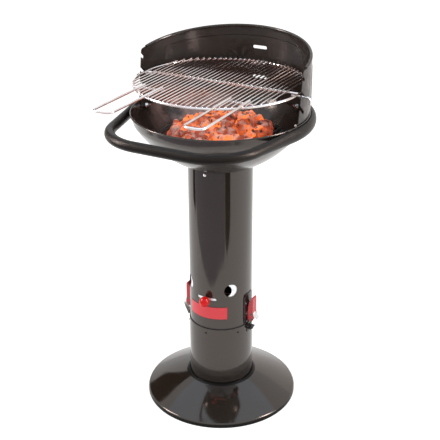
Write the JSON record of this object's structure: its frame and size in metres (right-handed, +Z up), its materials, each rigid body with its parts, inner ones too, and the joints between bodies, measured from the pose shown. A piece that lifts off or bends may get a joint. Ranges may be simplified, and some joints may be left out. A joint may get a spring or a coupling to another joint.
{
  "type": "charcoal_grill",
  "caption": "Charcoal grill on a round column and foot, with an open bowl, a half-round windshield, a lift-out wire cooking grid, a tube handle, an air damper and a latched ash pot.",
  "frame": {"origin": "on the floor, under the middle of the grill's whole outline; the column's axis stands 61 mm behind it", "axes": "+Z up along the column, -Y to the front, where the damper knob and the grid's handles are, +X to the right as seen from the front"},
  "size_m": [0.4842, 0.5706, 0.9771],
  "materials": {
    "enamel": "gloss",
    "handle_paint": "satin",
    "latch_paint": "satin",
    "chrome_wire": "polished",
    "galvanised": "satin",
    "zinc": "satin",
    "dark_steel": "satin",
    "red_knob": "gloss",
    "red_lever": "gloss",
    "red_label": "satin",
    "black_cap": "matte",
    "seal_rubber": "matte",
    "charcoal": "rough"
  },
  "bodies": {
    "root": {"foot": "enamel", "foot_bolts": "zinc", "foot_nuts": "zinc", "ash_pot": "enamel", "pot_rivets": "dark_steel", "pot_ring": "galvanised", "pot_seal": "seal_rubber", "column": "enamel", "column_bolts": "zinc", "column_nuts": "zinc", "label_plate": "red_label", "latch_base_right": "latch_paint", "latch_base_left": "latch_paint", "latch_rivets": "zinc", "latch_pin_right": "zinc", "latch_pin_left": "zinc", "latch_catch_right": "latch_paint", "latch_catch_left": "latch_paint", "bowl": "enamel", "windshield": "enamel", "handle": "handle_paint", "handle_caps": "black_cap", "side_bolts": "zinc", "wing_nuts": "zinc"},
    "damper": {"damper_ring": "galvanised", "damper_stem": "zinc", "damper_knob": "red_knob"},
    "lever_right": {"latch_lever_right": "red_lever", "hook_pin_right": "zinc"},
    "lever_left": {"latch_lever_left": "red_lever", "hook_pin_left": "zinc"},
    "hook_right": {"latch_hook_right": "zinc"},
    "hook_left": {"latch_hook_left": "zinc"},
    "cooking_grid": {"grid_ring": "chrome_wire", "grid_bars": "chrome_wire", "grid_cross_rod": "chrome_wire", "grid_ears": "chrome_wire", "grid_rear_tab": "chrome_wire", "grid_grip_right": "chrome_wire", "grid_grip_left": "chrome_wire", "grid_grip_wires": "chrome_wire"},
    "fire": {"grate_ring": "dark_steel", "grate_bars": "dark_steel", "charcoal": "charcoal"}
  },
  "joints": [
    {"name": "damper_turn", "type": "hinge", "parent": "root", "child": "damper", "pos_m": [0, 0.0609, 0.3435], "axis": [0, 0, 1], "range_deg": [-15, 11]},
    {"name": "latch_right", "type": "hinge", "parent": "root", "child": "lever_right", "pos_m": [0.0973, 0.0609, 0.2435], "axis": [0, 1, 0], "range_deg": [0, 75]},
    {"name": "latch_left", "type": "hinge", "parent": "root", "child": "lever_left", "pos_m": [-0.0973, 0.0609, 0.2435], "axis": [0, -1, 0], "range_deg": [0, 75]},
    {"name": "hook_swing_right", "type": "hinge", "parent": "lever_right", "child": "hook_right", "pos_m": [0.0977, 0.0609, 0.2585], "axis": [0, 1, 0], "range_deg": [-75, 0]},
    {"name": "hook_swing_left", "type": "hinge", "parent": "lever_left", "child": "hook_left", "pos_m": [-0.0977, 0.0609, 0.2585], "axis": [0, -1, 0], "range_deg": [-75, 0]},
    {"name": "grid_lift", "type": "slide", "parent": "root", "child": "cooking_grid", "axis": [0, -0.7431, 0.6691], "range_m": [0, 0.08]},
    {"name": "grate_lift", "type": "slide", "parent": "root", "child": "fire", "axis": [0, 0, 1], "range_m": [0, 0.06]}
  ],
  "couplings": [
    {"joint": "hook_swing_right", "follows": "latch_right", "ratio": -1},
    {"joint": "hook_swing_left", "follows": "latch_left", "ratio": -1}
  ]
}
